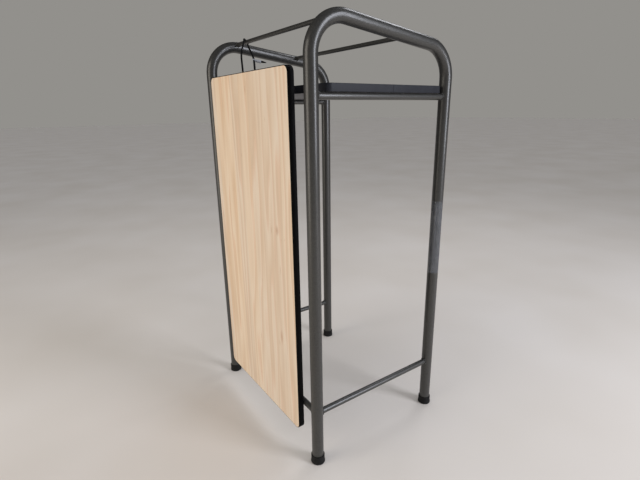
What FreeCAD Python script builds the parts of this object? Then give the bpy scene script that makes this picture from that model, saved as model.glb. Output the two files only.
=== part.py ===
import FreeCAD, Part
import math
import os

import Sketcher
from FreeCAD import Placement, Rotation, Vector

# Ironing stand: two bent tube frames joined by welded rods, a loose shelf on the upper rails,
# and an ironing board that hangs by a cord loop from one of the top rods.
# Origin: middle of the four feet, on the floor. +X runs from the board side to the plain side,
# +Y from the near frame to the far frame, +Z up. Millimetres.

doc = FreeCAD.newDocument("IroningStand")
sheet = doc.addObject("Spreadsheet::Sheet", "Dimensions")

DIMENSIONS = [
    ("frame_width", 336, "between the leg centre lines of one bent frame"),
    ("frame_depth", 425, "between the centre planes of the two bent frames"),
    ("high_side", 887, "height of the top bar's centre line, carried on to the board-side leg"),
    ("low_side", 843, "height of the top bar's centre line, carried on to the plain-side leg"),
    ("bend_radius", 64, "centre-line radius of the two bends"),
    ("tube_dia", 25, "frame tube, outside"),
    ("tube_wall", 1.5, "frame tube, wall"),
    ("rail_dia", 13, "upper and lower rails"),
    ("upper_rail_height", 751.5, "centre of the two rails that carry the shelf"),
    ("lower_rail_height", 122.5, "centre of the three rails near the floor"),
    ("top_rod_dia", 9, "the two thin rods between the top bars"),
    ("left_rod_inset", 68, "board-side leg centre to the rod that carries the board"),
    ("right_rod_inset", 101, "plain-side leg centre to the other top rod"),
    ("rod_rise", 5.5, "top rods above the top bar's centre line"),
    ("weld_leg", 2.2, "width of a weld bead on the rod's side"),
    ("weld_reach", 6.5, "how far a bead follows the tube's curve back from its crown"),
    ("cap_height", 19, "rubber foot, overall"),
    ("cap_wall", 2, "rubber foot, round the tube"),
    ("cap_flare", 0.8, "rubber foot, extra radius at its base"),
    ("cap_floor", 4, "rubber foot, under the washer"),
    ("cap_bevel", 2, "rubber foot, bevelled base edge"),
    ("cap_rim", 0.8, "rubber foot, bevelled upper edge"),
    ("washer_thickness", 1.5, "steel washer in the foot"),
    ("washer_bore", 8, "hole in that washer"),
    ("shelf_length", 292, "along X"),
    ("shelf_shift", 6, "the loose shelf's middle, towards the plain side"),
    ("shelf_thickness", 14.5, "board with its edging"),
    ("shelf_corner", 12, "outer corner radius"),
    ("shelf_seat_gap", 0.3, "clearance above the rails"),
    ("edging_wall", 1.5, "edging, outside the board"),
    ("edging_round", 1.2, "edging, rounded arrises"),
    ("tongue_depth", 8, "edging's tongue in the board's groove"),
    ("tongue_thickness", 1.8, "edging's tongue"),
    ("tongue_corner", 2, "inner corner radius of the tongue and its groove"),
    ("groove_fit", 0.1, "groove clearance on each side of the tongue"),
    ("seam_width", 0.5, "butt joint of the shelf edging's two ends"),
    ("seam_place", 14, "butt joint, from the frame's middle"),
    ("board_width", 344, "hanging board along Y"),
    ("board_height", 742, "hanging board along Z"),
    ("board_corner", 13, "outer corner radius"),
    ("board_hang", 80, "from the rod that carries it down to the board's top edge"),
    ("board_core_thickness", 9.6, "wood"),
    ("pad_thickness", 2, "felt"),
    ("cover_thickness", 1, "cotton cover"),
    ("lip_thickness", 1, "binding's lip over the cover"),
    ("lip_width", 8, "binding's lip, inside its wall"),
    ("lip_corner", 5, "inner corner radius of that lip"),
    ("cloth_fit", 0.3, "felt and cover clear of the binding"),
    ("board_rail_gap", 0.3, "board's inner face to the lower rail it rests against"),
    ("eyelet_pitch", 53, "between the two eyelets in the board's top edge"),
    ("eyelet_shift", -17.5, "middle of the two eyelets, along Y"),
    ("eyelet_fit", 0.3, "cord clear of the eyelet, all round"),
    ("eyelet_wall", 0.5, "sleeve"),
    ("eyelet_flange", 1.4, "flange outside the sleeve"),
    ("eyelet_flange_thickness", 0.6, "flange"),
    ("eyelet_sleeve", 7, "sleeve below the flange"),
    ("cord_dia", 4, "hanging cord"),
    ("cord_rod_gap", 0.35, "cord clear of the rod, so that the board can swing"),
    ("loop_place", 158, "where the loop hangs on the rod, along Y"),
    ("cord_anchor_depth", 18, "cord held in the board below its top edge"),
    ("cord_rise", 7, "corner of the cord's route above the board, where it leans over"),
    ("cord_lead", 16, "last corner of each run before the turn over the rod"),
    ("run_bow", 5, "how far each run's middle bows out, along X and along Y"),
    ("exit_radius", 6, "cord's bend above the eyelet"),
    ("run_radius", 40, "cord's bend in the middle of a run"),
    ("lead_radius", 30, "cord's bend before the turn"),
    ("turn_slack", 2, "slack over the rod"),
    ("clasp_share", 0.62, "clasp's place on the lower half of the loop's near run"),
    ("clasp_length", 19, "clasp that closes the loop and grips its tail"),
    ("clasp_dia", 6, "clasp"),
    ("clasp_round", 1.8, "clasp, rounded ends"),
    ("clasp_turn", -35, "degrees from +X that the clasp points"),
    ("clasp_dip", 12, "degrees below level that the clasp points"),
    ("clasp_overlap", 3.5, "clasp beyond the run it grips, away from the tail"),
    ("tail_length", 11, "cord's tail beyond the clasp"),
    ("tail_tip", 1.1, "tail's diameter at its tip"),
    ("label_low", 361, "lower end of the clear sleeve on one leg"),
    ("label_high", 531, "upper end of that sleeve"),
    ("label_thickness", 0.25, "its wall"),
]

for row, (alias, value, note) in enumerate(DIMENSIONS, start=1):
    sheet.set(f"A{row}", alias)
    sheet.set(f"B{row}", str(value))
    sheet.set(f"C{row}", note)
    sheet.setAlias(f"B{row}", alias)
doc.recompute()

ALIASES = {alias for alias, _, _ in DIMENSIONS}


def with_sheet(expression):
    """Write each alias in an expression as a reference to the sheet."""
    words = []
    for word in expression.replace("(", " ( ").replace(")", " ) ").split():
        words.append(f"Dimensions.{word}" if word in ALIASES else word)
    return " ".join(words)


def size(expression):
    """The expression's value now, in millimetres (or degrees)."""
    value = sheet.evalExpression(with_sheet(str(expression)))
    return float(getattr(value, "Value", value))


def bind(thing, **properties):
    """Bind properties to the sheet; a double underscore stands for a dot."""
    for name, expression in properties.items():
        thing.setExpression(name.replace("__", "."), with_sheet(str(expression)))
    return thing


def place(thing, x="0", y="0", z="0", rotation=None):
    """Give a placement whose position follows the sheet."""
    turn = rotation or Rotation()
    thing.Placement = Placement(Vector(size(x), size(y), size(z)), turn)
    return bind(thing, Placement__Base__x=x, Placement__Base__y=y, Placement__Base__z=z)


# Lines and planes that several pieces share, written once.
LEG_X = "frame_width / 2"
FRAME_Y = "frame_depth / 2"
TUBE_RADIUS = "tube_dia / 2"
TUBE_FOOT = "( cap_floor + washer_thickness )"
BAR_FALL = "( high_side - low_side ) / frame_width"
LEFT_ROD_X = "( left_rod_inset - frame_width / 2 )"
RIGHT_ROD_X = "( frame_width / 2 - right_rod_inset )"
LEFT_ROD_Z = f"( high_side - left_rod_inset * {BAR_FALL} + rod_rise )"
RIGHT_ROD_Z = f"( low_side + right_rod_inset * {BAR_FALL} + rod_rise )"
SHELF_Z = "( upper_rail_height + rail_dia / 2 + shelf_seat_gap )"
SHELF_DEPTH = "( frame_depth + rail_dia )"
BOARD_DEPTH = "( board_core_thickness + pad_thickness + cover_thickness + lip_thickness )"
BOARD_X = f"( 0 - frame_width / 2 - rail_dia / 2 - board_rail_gap - {BOARD_DEPTH} )"
BOARD_TOP = f"( {LEFT_ROD_Z} - board_hang )"
BOARD_Z = f"( {BOARD_TOP} - board_height / 2 )"

EYELET_BORE = "( cord_dia / 2 + eyelet_fit )"
EYELET_RADIUS = "( cord_dia / 2 + eyelet_fit + eyelet_wall )"

CLOSE = 1e-4  # two places this near are the same
TO_X = Rotation(Vector(0, 1, 0), 90)
TO_Y = Rotation(Vector(1, 0, 0), -90)
FACING_FRAME = Rotation(Vector(1, 0, 0), 90)


# Helpers for sketches and bodies.


def new_body(name):
    return doc.addObject("PartDesign::Body", name)


def origin_plane(body, role):
    return next(item for item in body.Origin.OriginFeatures if item.Role == role)


def new_sketch(body, name, role, offset="0"):
    """A sketch on one of the body's origin planes, raised by offset."""
    sketch = body.newObject("Sketcher::SketchObject", name)
    sketch.AttachmentSupport = (origin_plane(body, role), "")
    sketch.MapMode = "FlatFace"
    sketch.AttachmentOffset = Placement(Vector(0, 0, size(offset)), Rotation())
    return bind(sketch, AttachmentOffset__Base__z=offset)


def fix_point(sketch, edge, end, x, y):
    """Tie one end of an edge to a place given by two expressions."""
    for direction, axis, expression in (("DistanceX", -2, x), ("DistanceY", -1, y)):
        value = size(expression)
        if abs(value) < CLOSE:
            sketch.addConstraint(Sketcher.Constraint("PointOnObject", edge, end, axis))
            continue
        number = sketch.addConstraint(Sketcher.Constraint(direction, -1, 1, edge, end, value))
        sketch.setExpression(f"Constraints[{number}]", with_sheet(expression))


def polygon(sketch, corners):
    """A closed outline of straight edges; each corner is a pair of expressions."""
    points = [Vector(size(x), size(y), 0) for x, y in corners]
    first = sketch.GeometryCount
    count = len(points)
    for index, point in enumerate(points):
        sketch.addGeometry(Part.LineSegment(point, points[(index + 1) % count]))
    for index in range(count):
        following = first + (index + 1) % count
        sketch.addConstraint(Sketcher.Constraint("Coincident", first + index, 2, following, 1))
    for index, (x, y) in enumerate(corners):
        fix_point(sketch, first + index, 1, x, y)
    return sketch


def circle(sketch, x, y, radius):
    number = sketch.addGeometry(
        Part.Circle(Vector(size(x), size(y), 0), Vector(0, 0, 1), size(radius))
    )
    fix_point(sketch, number, 3, x, y)
    index = sketch.addConstraint(Sketcher.Constraint("Radius", number, size(radius)))
    sketch.setExpression(f"Constraints[{index}]", with_sheet(radius))
    return sketch


def rounded_rectangle(sketch, width, height, radius):
    """A rectangle with round corners, centred on the sketch's origin."""
    half_w, half_h, r = size(width) / 2, size(height) / 2, size(radius)
    first = sketch.GeometryCount
    corners = [(1, 1), (-1, 1), (-1, -1), (1, -1)]
    for turn, (sx, sy) in enumerate(corners):
        centre = Vector(sx * (half_w - r), sy * (half_h - r), 0)
        start = math.radians(90 * turn)
        arc = Part.ArcOfCircle(Part.Circle(centre, Vector(0, 0, 1), r), start, start + math.pi / 2)
        sketch.addGeometry(arc)
    for turn in range(4):
        start = sketch.getPoint(first + turn, 2)
        end = sketch.getPoint(first + (turn + 1) % 4, 1)
        sketch.addGeometry(Part.LineSegment(start, end))
    for turn in range(4):
        line = first + 4 + turn
        sketch.addConstraint(Sketcher.Constraint("Tangent", first + turn, 2, line, 1))
        sketch.addConstraint(Sketcher.Constraint("Tangent", line, 2, first + (turn + 1) % 4, 1))
    sketch.addConstraint(Sketcher.Constraint("Horizontal", first + 4))
    sketch.addConstraint(Sketcher.Constraint("Vertical", first + 5))
    sketch.addConstraint(Sketcher.Constraint("Horizontal", first + 6))
    for turn in (1, 2, 3):
        sketch.addConstraint(Sketcher.Constraint("Equal", first, first + turn))
    sketch.addConstraint(Sketcher.Constraint("Symmetric", first, 3, first + 2, 3, -1, 1))
    for kind, ends, expression in (
        ("DistanceX", (first + 1, 2, first, 1), width),
        ("DistanceY", (first + 2, 2, first + 1, 1), height),
        ("Radius", (first,), radius),
    ):
        number = sketch.addConstraint(Sketcher.Constraint(kind, *ends, size(expression)))
        sketch.setExpression(f"Constraints[{number}]", with_sheet(expression))
    return sketch


def pad(body, sketch, length, both_sides=False):
    feature = body.newObject("PartDesign::Pad", f"{sketch.Name}Pad")
    return finish_extrusion(feature, sketch, length, both_sides)


def pocket(body, sketch, length, both_sides=False, reversed_side=False):
    """A pocket that has to take material away, whichever side its sketch faces."""
    doc.recompute()
    before = body.Shape.Volume
    feature = body.newObject("PartDesign::Pocket", f"{sketch.Name}Pocket")
    feature.Reversed = reversed_side
    finish_extrusion(feature, sketch, length, both_sides)
    doc.recompute()
    if body.Shape.Volume > before - CLOSE:
        raise RuntimeError(f"{feature.Name} cuts nothing")
    return feature


def finish_extrusion(feature, sketch, length, both_sides):
    feature.Profile = sketch
    feature.Length = size(length)
    if both_sides:
        feature.SideType = "Symmetric"
    sketch.Visibility = False
    return bind(feature, Length=length)


def fillet(body, name, radius, choose):
    """Round the edges of the body's last feature that choose() accepts."""
    doc.recompute()
    base = body.Tip
    names = [f"Edge{n}" for n, edge in enumerate(base.Shape.Edges, start=1) if choose(edge)]
    feature = body.newObject("PartDesign::Fillet", name)
    feature.Base = (base, names)
    feature.Radius = size(radius)
    return bind(feature, Radius=radius)


# Bent frames and rods.


def frame_path(name, y):
    """Centre line of a bent frame: leg, bend, sloping top bar, bend, leg."""
    half = size(LEG_X)
    high, low = size("high_side"), size("low_side")
    radius, foot = size("bend_radius"), size(TUBE_FOOT)
    slope = math.atan2(high - low, 2 * half)
    drop = radius / math.cos(slope)
    centres = [
        Vector(-half + radius, high - math.tan(slope) * radius - drop, 0),
        Vector(half - radius, low + math.tan(slope) * radius - drop, 0),
    ]
    crown = math.pi / 2 - slope
    up = Vector(0, 0, 1)
    left_bend = Part.ArcOfCircle(Part.Circle(centres[0], up, radius), crown, math.pi)
    right_bend = Part.ArcOfCircle(Part.Circle(centres[1], up, radius), 0, crown)

    path = doc.addObject("Sketcher::SketchObject", name)
    place(path, y=y, rotation=FACING_FRAME)
    left_foot, right_foot = Vector(-half, foot, 0), Vector(half, foot, 0)
    path.addGeometry(Part.LineSegment(left_foot, left_bend.EndPoint))
    path.addGeometry(left_bend)
    path.addGeometry(Part.LineSegment(left_bend.StartPoint, right_bend.EndPoint))
    path.addGeometry(right_bend)
    path.addGeometry(Part.LineSegment(right_bend.StartPoint, right_foot))
    high_corner = path.addGeometry(Part.Point(Vector(-half, high, 0)), True)
    low_corner = path.addGeometry(Part.Point(Vector(half, low, 0)), True)
    for joint in ((0, 2, 1, 2), (1, 1, 2, 1), (2, 2, 3, 2), (3, 1, 4, 1)):
        path.addConstraint(Sketcher.Constraint("Tangent", *joint))
    path.addConstraint(Sketcher.Constraint("Vertical", 0))
    path.addConstraint(Sketcher.Constraint("Vertical", 4))
    path.addConstraint(Sketcher.Constraint("Equal", 1, 3))
    path.addConstraint(Sketcher.Constraint("Symmetric", 0, 1, 4, 2, -2))
    for corner, leg in ((high_corner, 0), (low_corner, 4)):
        path.addConstraint(Sketcher.Constraint("PointOnObject", corner, 1, leg))
        path.addConstraint(Sketcher.Constraint("PointOnObject", corner, 1, 2))
    for kind, ends, expression in (
        ("DistanceX", (0, 1, 4, 2), "frame_width"),
        ("DistanceY", (-1, 1, 0, 1), TUBE_FOOT),
        ("DistanceY", (-1, 1, high_corner, 1), "high_side"),
        ("DistanceY", (-1, 1, low_corner, 1), "low_side"),
        ("Radius", (1,), "bend_radius"),
    ):
        number = path.addConstraint(Sketcher.Constraint(kind, *ends, size(expression)))
        path.setExpression(f"Constraints[{number}]", with_sheet(expression))
    return path


def swept_round(name, path, y, radius):
    """A round bar along a frame's centre line."""
    section = doc.addObject("Part::Circle", f"{name}_section")
    bind(section, Radius=radius)
    place(section, x=f"0 - {LEG_X}", y=y, z=TUBE_FOOT)
    sweep = doc.addObject("Part::Sweep", name)
    sweep.Sections = [section]
    sweep.Spine = (path, [f"Edge{n}" for n in range(1, 6)])
    sweep.Solid = True
    return sweep


def cut(name, base, tool):
    result = doc.addObject("Part::Cut", name)
    result.Label = name
    result.Base = base
    result.Tool = tool
    return result


def group(name, pieces):
    result = doc.addObject("Part::Compound", name)
    result.Label = name
    result.Links = pieces
    return result


def leg_frame(name, y):
    """A hollow bent frame, and the solid bar of its outside that its rods are coped to."""
    path = frame_path(f"{name}_path", y)
    outside = swept_round(f"{name}_outside", path, y, TUBE_RADIUS)
    inside = swept_round(f"{name}_inside", path, y, "tube_dia / 2 - tube_wall")
    return cut(name, outside, inside), outside


def welded_rod(name, radius, start, turn, span):
    """A rod from tube centre to tube centre, coped to both, with a bead at each end."""
    bar = place(doc.addObject("Part::Cylinder", f"{name}_bar"), *start, rotation=turn)
    bind(bar, Radius=radius, Height=span)
    rod = cut(name, bar, frame_outsides)
    clear = group(f"{name}_clear", [bar, near_outside, far_outside])
    beads = []
    reach = f"( {TUBE_RADIUS} + weld_leg - weld_reach )"
    tip, root = f"{radius} + weld_leg / 4", f"{radius} + weld_leg"
    direction = turn.multVec(Vector(0, 0, 1))
    letters = "xyz"
    along = max(range(3), key=lambda axis: abs(direction[axis]))
    for end, low, high, offset in (
        ("start", root, tip, f"{TUBE_RADIUS} + weld_leg - {reach}"),
        ("finish", tip, root, f"{span} - {TUBE_RADIUS} - weld_leg"),
    ):
        collar = doc.addObject("Part::Cone", f"{name}_{end}_collar")
        bind(collar, Radius1=low, Radius2=high, Height=reach)
        spot = dict(zip(letters, start))
        spot[letters[along]] = f"{spot[letters[along]]} + {offset}"
        place(collar, **spot, rotation=turn)
        beads.append(cut(f"{name}_{end}_bead", collar, clear))
    return rod, beads


near_leg_frame, near_outside = leg_frame("near_leg_frame", f"0 - {FRAME_Y}")
far_leg_frame, far_outside = leg_frame("far_leg_frame", FRAME_Y)
frame_outsides = group("frame_outsides", [near_outside, far_outside])

RAIL_RADIUS = "rail_dia / 2"
ROD_RADIUS = "top_rod_dia / 2"
LEFT_LEG, NEAR = f"0 - {LEG_X}", f"0 - {FRAME_Y}"
rods = {
    "near_upper_rail": (RAIL_RADIUS, (LEFT_LEG, NEAR, "upper_rail_height"), TO_X, "frame_width"),
    "far_upper_rail": (RAIL_RADIUS, (LEFT_LEG, FRAME_Y, "upper_rail_height"), TO_X, "frame_width"),
    "near_lower_rail": (RAIL_RADIUS, (LEFT_LEG, NEAR, "lower_rail_height"), TO_X, "frame_width"),
    "far_lower_rail": (RAIL_RADIUS, (LEFT_LEG, FRAME_Y, "lower_rail_height"), TO_X, "frame_width"),
    "left_lower_rail": (RAIL_RADIUS, (LEFT_LEG, NEAR, "lower_rail_height"), TO_Y, "frame_depth"),
    "left_top_rod": (ROD_RADIUS, (LEFT_ROD_X, NEAR, LEFT_ROD_Z), TO_Y, "frame_depth"),
    "right_top_rod": (ROD_RADIUS, (RIGHT_ROD_X, NEAR, RIGHT_ROD_Z), TO_Y, "frame_depth"),
}
pieces = [near_leg_frame, far_leg_frame]
all_beads = []
for name, (radius, start, turn, span) in rods.items():
    rod, beads = welded_rod(name, radius, start, turn, span)
    pieces.append(rod)
    all_beads += beads
pieces.append(group("frame_welds", all_beads))
print("frame built")


# Feet.


def foot_cap(name, x, y):
    """Rubber ferrule pressed over a leg's end, revolved about the leg's centre line."""
    body = new_body(name)
    outer = "( tube_dia / 2 + cap_wall )"
    base = f"( {outer} + cap_flare )"
    sketch = polygon(
        new_sketch(body, f"{name}_profile", "XZ_Plane"),
        [
            ("0", "0"),
            (f"{base} - cap_bevel", "0"),
            (base, "cap_bevel"),
            (base, "cap_floor + washer_thickness"),
            (outer, "cap_floor + washer_thickness + cap_wall"),
            (outer, "cap_height - cap_rim"),
            (f"{outer} - cap_rim", "cap_height"),
            (TUBE_RADIUS, "cap_height"),
            (TUBE_RADIUS, "cap_floor"),
            ("0", "cap_floor"),
        ],
    )
    turned = body.newObject("PartDesign::Revolution", f"{name}_turned")
    turned.Profile = sketch
    turned.ReferenceAxis = (sketch, ["V_Axis"])
    turned.Angle = 360
    place(body, x=x, y=y)
    return body


def foot_washer(name, x, y):
    """Steel washer inside the foot, which the tube stands on."""
    disc = place(doc.addObject("Part::Cylinder", f"{name}_disc"), x=x, y=y, z="cap_floor")
    bind(disc, Radius=TUBE_RADIUS, Height="washer_thickness")
    hole = place(doc.addObject("Part::Cylinder", f"{name}_hole"), x=x, y=y, z="cap_floor")
    bind(hole, Radius="washer_bore / 2", Height="washer_thickness")
    return cut(name, disc, hole)


washers = []
for side, y in (("near", NEAR), ("far", FRAME_Y)):
    for hand, x in (("left", LEFT_LEG), ("right", LEG_X)):
        pieces.append(foot_cap(f"{side}_{hand}_foot", x, y))
        washers.append(foot_washer(f"{side}_{hand}_washer", x, y))
pieces.append(group("foot_washers", washers))
print("feet built")


# Edged boards.


def smaller(expression, *takes):
    """A size less twice each of the given walls."""
    return "( " + expression + "".join(f" - 2 * {take}" for take in takes) + " )"


def outline(body, name, role, offset, sides, inset, corner):
    """Sketch of a board's outline, moved in all round by inset."""
    width, height = (smaller(side, inset) for side in sides)
    return rounded_rectangle(new_sketch(body, name, role, offset), width, height, corner)


def ring(body, name, role, offset, sides, outer_inset, inner_inset, corner, inner_corner):
    """Sketch of a band that follows a board's outline between two insets."""
    sketch = outline(body, name, role, offset, sides, outer_inset, corner)
    width, height = (smaller(side, inner_inset) for side in sides)
    return rounded_rectangle(sketch, width, height, inner_corner)


def grooved_core(name, role, sides, corner, thickness):
    """A board with a groove in its edge for the edging's tongue."""
    body = new_body(name)
    inner = f"( {corner} - edging_wall )"
    face = outline(body, f"{name}_face", role, "0", sides, "edging_wall", inner)
    pad(body, face, thickness)
    groove = ring(body, f"{name}_groove", role, f"{thickness} / 2", sides, "edging_wall",
                  "( edging_wall + tongue_depth + groove_fit )", inner, "tongue_corner")
    pocket(body, groove, "tongue_thickness + 2 * groove_fit", both_sides=True)
    return body


def edging(name, role, sides, corner, depth, tongue_level, lip=False):
    """Flexible strip round a board: a wall, a tongue in the groove and, if asked, a back lip."""
    body = new_body(name)
    inner = f"( {corner} - edging_wall )"
    wall = ring(body, f"{name}_wall", role, "0", sides, "0", "edging_wall", corner, inner)
    pad(body, wall, depth)
    tongue = ring(body, f"{name}_tongue", role, tongue_level, sides, "( edging_wall / 2 )",
                  "( edging_wall + tongue_depth )", f"( {corner} - edging_wall / 2 )",
                  "tongue_corner")
    pad(body, tongue, "tongue_thickness", both_sides=True)
    if lip:
        over = ring(body, f"{name}_lip", role, f"{depth} - lip_thickness", sides,
                    "( edging_wall / 2 )", "( edging_wall + lip_width )",
                    f"( {corner} - edging_wall / 2 )", "lip_corner")
        pad(body, over, "lip_thickness")
    across = 0 if role == "YZ_Plane" else 2
    levels = (0, size(depth))
    spans = [size(side) / 2 for side in sides]

    def is_outer_arris(edge):
        box = edge.BoundBox
        low = (box.XMin, box.YMin, box.ZMin)
        high = (box.XMax, box.YMax, box.ZMax)
        if high[across] - low[across] > CLOSE:
            return False
        if min(abs(low[across] - level) for level in levels) > CLOSE:
            return False
        others = [axis for axis in range(3) if axis != across]
        reach = [max(abs(low[axis]), abs(high[axis])) for axis in others]
        return any(abs(r - span) < CLOSE for r, span in zip(reach, spans))

    fillet(body, f"{name}_rounding", "edging_round", is_outer_arris)
    return body


def loose_shelf():
    sides = ("shelf_length", SHELF_DEPTH)
    core = grooved_core("shelf_core", "XY_Plane", sides, "shelf_corner", "shelf_thickness")
    strip = edging("shelf_edging", "XY_Plane", sides, "shelf_corner", "shelf_thickness",
                   "shelf_thickness / 2")
    left = "( seam_place - shelf_shift - seam_width / 2 )"
    right = "( seam_place - shelf_shift + seam_width / 2 )"
    outside = f"( 0 - {SHELF_DEPTH} / 2 - 1 )"
    inside = f"( 0 - {SHELF_DEPTH} / 2 + edging_wall + tongue_depth + 1 )"
    seam = polygon(
        new_sketch(strip, "shelf_edging_seam", "XY_Plane"),
        [(left, outside), (right, outside), (right, inside), (left, inside)],
    )
    pocket(strip, seam, "shelf_thickness", reversed_side=True)
    for body in (core, strip):
        place(body, x="shelf_shift", z=SHELF_Z)
    return [core, strip]


def drill_for_loop(body):
    """Stepped holes down from the board's top edge: wide for the eyelets, tight on the cord."""
    for step, radius, depth in (
        ("sleeve", EYELET_RADIUS, "eyelet_sleeve"),
        ("cord", "cord_dia / 2", "cord_anchor_depth"),
    ):
        sketch = new_sketch(body, f"{body.Name}_{step}_holes", "XY_Plane", "board_height / 2")
        for side in ("-", "+"):
            circle(sketch, "board_core_thickness / 2",
                   f"eyelet_shift {side} eyelet_pitch / 2", radius)
        pocket(body, sketch, depth)


def hanging_board():
    """Wood, felt and cover, held together by the binding round their edge."""
    sides = ("board_width", "board_height")
    role = "YZ_Plane"
    core = grooved_core("board_core", role, sides, "board_corner", "board_core_thickness")
    binding = edging("edge_binding", role, sides, "board_corner", BOARD_DEPTH,
                     "board_core_thickness / 2", lip=True)
    for body in (core, binding):
        drill_for_loop(body)
        place(body, x=BOARD_X, z=BOARD_Z)
    cloth = []
    for name, level, thickness in (
        ("felt_pad", "board_core_thickness", "pad_thickness"),
        ("ironing_cover", "board_core_thickness + pad_thickness", "cover_thickness"),
    ):
        body = new_body(name)
        sheet_outline = outline(body, f"{name}_outline", role, level, sides,
                                "( edging_wall + cloth_fit )",
                                "( board_corner - edging_wall - cloth_fit )")
        pad(body, sheet_outline, thickness)
        place(body, x=BOARD_X, z=BOARD_Z)
        cloth.append(body)
    return [core, binding] + cloth


pieces += loose_shelf()
pieces += hanging_board()
print("shelf and board built")


# Eyelets and hanging loop.

EYELET_X = f"( {BOARD_X} + board_core_thickness / 2 )"
TRIM = 0.01  # leaves a short straight between the two halves of the turn
VOLUME_SHARE = 0.01  # most a swept cord's volume may differ from section times length


def eyelet(name, side):
    """Flanged sleeve in the board's top edge."""
    body = new_body(name)
    sketch = polygon(
        new_sketch(body, f"{name}_profile", "XZ_Plane"),
        [
            (EYELET_BORE, "0 - eyelet_sleeve"),
            (EYELET_RADIUS, "0 - eyelet_sleeve"),
            (EYELET_RADIUS, "0"),
            (f"{EYELET_RADIUS} + eyelet_flange", "0"),
            (f"{EYELET_RADIUS} + eyelet_flange", "eyelet_flange_thickness / 2"),
            (f"{EYELET_RADIUS} + eyelet_flange / 2", "eyelet_flange_thickness"),
            (EYELET_BORE, "eyelet_flange_thickness"),
        ],
    )
    turned = body.newObject("PartDesign::Revolution", f"{name}_turned")
    turned.Profile = sketch
    turned.ReferenceAxis = (sketch, ["V_Axis"])
    turned.Angle = 360
    place(body, x=EYELET_X, y=f"eyelet_shift {side} eyelet_pitch / 2", z=BOARD_TOP)
    return body


def rounded_path(points, radii):
    """Straight runs through the points, joined by tangent arcs of the given radii."""
    edges = []
    start = points[0]
    for before, corner, after, radius in zip(points, points[1:], points[2:], radii):
        back = (before - corner).normalize()
        ahead = (after - corner).normalize()
        half = back.getAngle(ahead) / 2
        reach = radius / math.tan(half)
        middle = (back + ahead).normalize() * (radius / math.sin(half) - radius)
        enter, leave = corner + back * reach, corner + ahead * reach
        edges.append(Part.LineSegment(start, enter).toShape())
        edges.append(Part.Arc(enter, corner + middle, leave).toShape())
        start = leave
    edges.append(Part.LineSegment(start, points[-1]).toShape())
    return Part.Wire(edges)


def round_cord(path, radius):
    """A round cord along a path; its volume has to be its section times its length."""
    start = path.Edges[0]
    ring_edge = Part.Circle(start.valueAt(start.FirstParameter),
                            start.tangentAt(start.FirstParameter), radius)
    solid = path.makePipeShell([Part.Wire(ring_edge.toShape())], True, False)
    expected = math.pi * radius ** 2 * path.Length
    if abs(solid.Volume / expected - 1) > VOLUME_SHARE:
        raise RuntimeError("the cord's volume is wrong")
    return solid


def solid_piece(name, shape):
    piece = doc.addObject("Part::Feature", name)
    piece.Shape = shape
    return piece


def hanging_loop():
    """Cord from one eyelet, over the top rod and down to the other eyelet."""
    cord_radius = size("cord_dia") / 2
    rod_radius = size(ROD_RADIUS)
    turn_radius = rod_radius + cord_radius + size("cord_rod_gap")
    over = Vector(size(LEFT_ROD_X), size("loop_place"), size(LEFT_ROD_Z))
    top = size(BOARD_TOP)
    ends = [Vector(size(EYELET_X), size(f"eyelet_shift {side} eyelet_pitch / 2"), top)
            for side in ("+", "-")]
    pull = ((ends[0] + ends[1]) * 0.5 - over).normalize()
    aside = Vector(pull.z, 0, -pull.x).normalize()
    # The turn lies in a plane that crosses the rod at a slant, where the rod's section is an
    # ellipse, longer along the cord's pull, so the turn stands off by that extra length.
    slant = math.sqrt(1 - pull.y ** 2)
    stand_off = turn_radius / slant - turn_radius + size("turn_slack")
    bow = size("run_bow")
    runs = []
    for end, hand in zip(ends, (1, -1)):
        side = aside * (hand * turn_radius)
        anchor = end - Vector(0, 0, size("cord_anchor_depth"))
        exit_point = end + Vector(0, 0, size("cord_rise"))
        tangent = over + side + pull * size("cord_lead")
        middle = (exit_point + tangent) * 0.5 + aside * (hand * bow) + Vector(0, hand * bow, 0)
        tip = over + side - pull * (stand_off + turn_radius)
        runs.append([anchor, exit_point, middle, tangent, tip])
    points = runs[0] + runs[1][::-1]
    half = [size("exit_radius"), size("run_radius"), size("lead_radius"), turn_radius - TRIM]
    radii = half + half[::-1]
    path = rounded_path(points, radii)
    print("hanging cord length", round(path.Length, 1), "turn radii", radii)
    return round_cord(path, cord_radius), runs[1]


def loop_clasp(loop, run):
    """Clasp across the near run of the loop, and the tapered tail that it grips."""
    low, high = run[1], run[2]
    grip = low + (high - low) * size("clasp_share")
    turn = math.radians(size("clasp_turn"))
    dip = math.radians(size("clasp_dip"))
    outward = Vector(math.cos(turn) * math.cos(dip), math.sin(turn) * math.cos(dip), -math.sin(dip))
    radius = size("clasp_dia") / 2
    length = size("clasp_length")
    start = grip - outward * size("clasp_overlap")
    barrel = Part.makeCylinder(radius, length, start, outward)
    clasp = barrel.makeFillet(size("clasp_round"), barrel.Edges).cut(loop)
    tail_radius = size("cord_dia") / 2
    tail = Part.makeCone(tail_radius, size("tail_tip") / 2, size("tail_length"),
                         start + outward * length, outward)
    return clasp, tail


loop_shape, near_run = hanging_loop()
clasp_shape, tail_shape = loop_clasp(loop_shape, near_run)
for name, shape in (("hanging_loop", loop_shape), ("loop_clasp", clasp_shape),
                    ("loop_tail", tail_shape)):
    pieces.append(solid_piece(name, shape))
pieces.append(group("loop_eyelets", [eyelet("far_eyelet", "+"), eyelet("near_eyelet", "-")]))


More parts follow.
